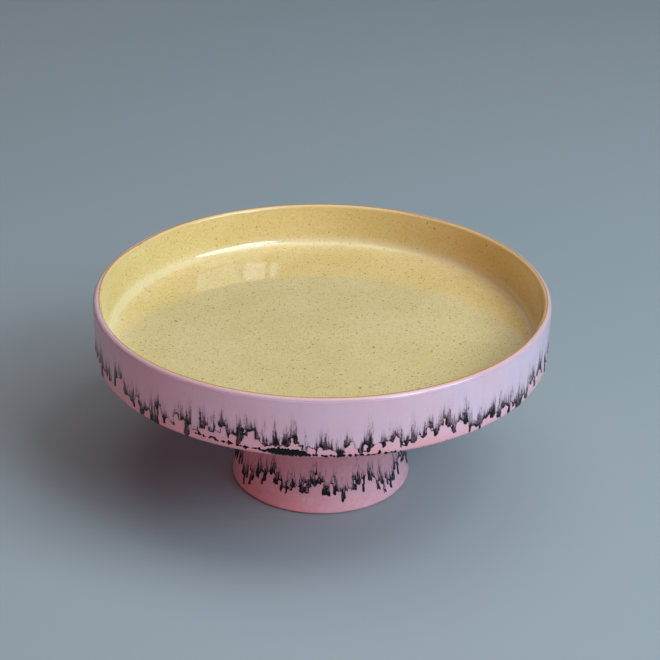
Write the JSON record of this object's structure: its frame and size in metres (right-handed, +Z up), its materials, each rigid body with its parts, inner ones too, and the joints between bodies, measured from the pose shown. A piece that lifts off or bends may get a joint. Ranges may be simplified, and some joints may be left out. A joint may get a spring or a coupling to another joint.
{
  "type": "footed cake stand",
  "caption": "Low footed cake stand in glazed stoneware: a shallow upright-walled dish for cake or pastries on a hollow flared foot.",
  "frame": {"origin": "centre of the circle on which the foot stands, at table height", "axes": "+Z up along the stand's axis of turning; X and Y are level; the broken dark line under the dish's wall is on the -Y side"},
  "size_m": [0.24, 0.24, 0.1092],
  "materials": {
    "stoneware": "matt fired clay",
    "slip": "matt fired slip",
    "yellow_glaze": "satin gloss with brown specks",
    "rim_glaze": "satin gloss, breaking to rust",
    "rose_glaze": "satin gloss",
    "lilac_glaze": "satin gloss with dark runs",
    "mauve_glaze": "satin gloss with dark runs",
    "black_glaze": "gloss"
  },
  "bodies": {
    "root": {"dish_body": "stoneware", "foot_body": "stoneware", "joint_slip": "slip", "dish_glaze_inside": "yellow_glaze", "rim_glaze": "rim_glaze", "dish_glaze_outside": "rose_glaze", "foot_glaze_outside": "rose_glaze", "foot_glaze_inside": "rose_glaze", "dish_over_glaze": "lilac_glaze", "foot_over_glaze": "mauve_glaze", "dish_edge_line": "black_glaze"}
  },
  "joints": []
}
